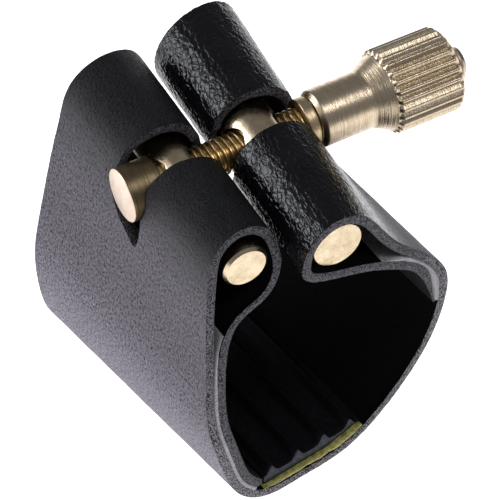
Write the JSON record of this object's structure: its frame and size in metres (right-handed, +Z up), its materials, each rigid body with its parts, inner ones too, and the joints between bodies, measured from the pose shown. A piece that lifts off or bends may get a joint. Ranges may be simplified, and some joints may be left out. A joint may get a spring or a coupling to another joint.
{
  "type": "saxophone ligature",
  "caption": "Leather strap ligature that clamps a reed to a saxophone mouthpiece, closed by a knurled thumb nut on a threaded stud through two rods.",
  "frame": {"origin": "centre of the mouthpiece opening, mid-way along the strap", "axes": "+X across the mouthpiece towards the knurled nut, +Y along the mouthpiece from the strap's front edge to its back edge, +Z up towards the closing screw"},
  "size_m": [0.0429, 0.0334, 0.0388],
  "materials": {
    "leather": "glossy grained black",
    "plated_brass": "pale satin plating with turning lines",
    "thread_brass": "cut thread, bright",
    "pad_rubber": "matt moulded",
    "pad_glue": "dried yellow-green glue",
    "ply_glue": "dried grey glue"
  },
  "bodies": {
    "strap_left": {"leather_band_left": "leather", "left_rod": "plated_brass", "threaded_stud": "thread_brass", "ribbed_pad": "pad_rubber", "pad_adhesive": "pad_glue", "left_ply_adhesive": "ply_glue"},
    "strap_right": {"leather_band_right": "leather", "right_rod": "plated_brass", "right_ply_adhesive": "ply_glue"},
    "washer": {"thrust_washer": "thread_brass"},
    "nut": {"thumb_nut": "plated_brass"}
  },
  "joints": [
    {"name": "nut_spin", "type": "hinge", "parent": "washer", "child": "nut", "pos_m": [0.01386, -0.00077, 0.0165], "axis": [0.99, -0.1409, 0], "range_deg": [-1170, 1800]},
    {"name": "nut_travel", "type": "slide", "parent": "strap_left", "child": "washer", "axis": [0.99, -0.1409, 0], "range_m": [-0.00227, 0.00349]},
    {"name": "strap_flex", "type": "hinge", "parent": "strap_left", "child": "strap_right", "pos_m": [0.0084, 0, -0.0138], "axis": [0, 1, 0], "range_deg": [-0.9, 1.4]}
  ],
  "couplings": [
    {"joint": "nut_spin", "follows": "nut_travel", "rad_per_m": 8976},
    {"joint": "strap_flex", "follows": "nut_travel", "rad_per_m": 6.521}
  ]
}
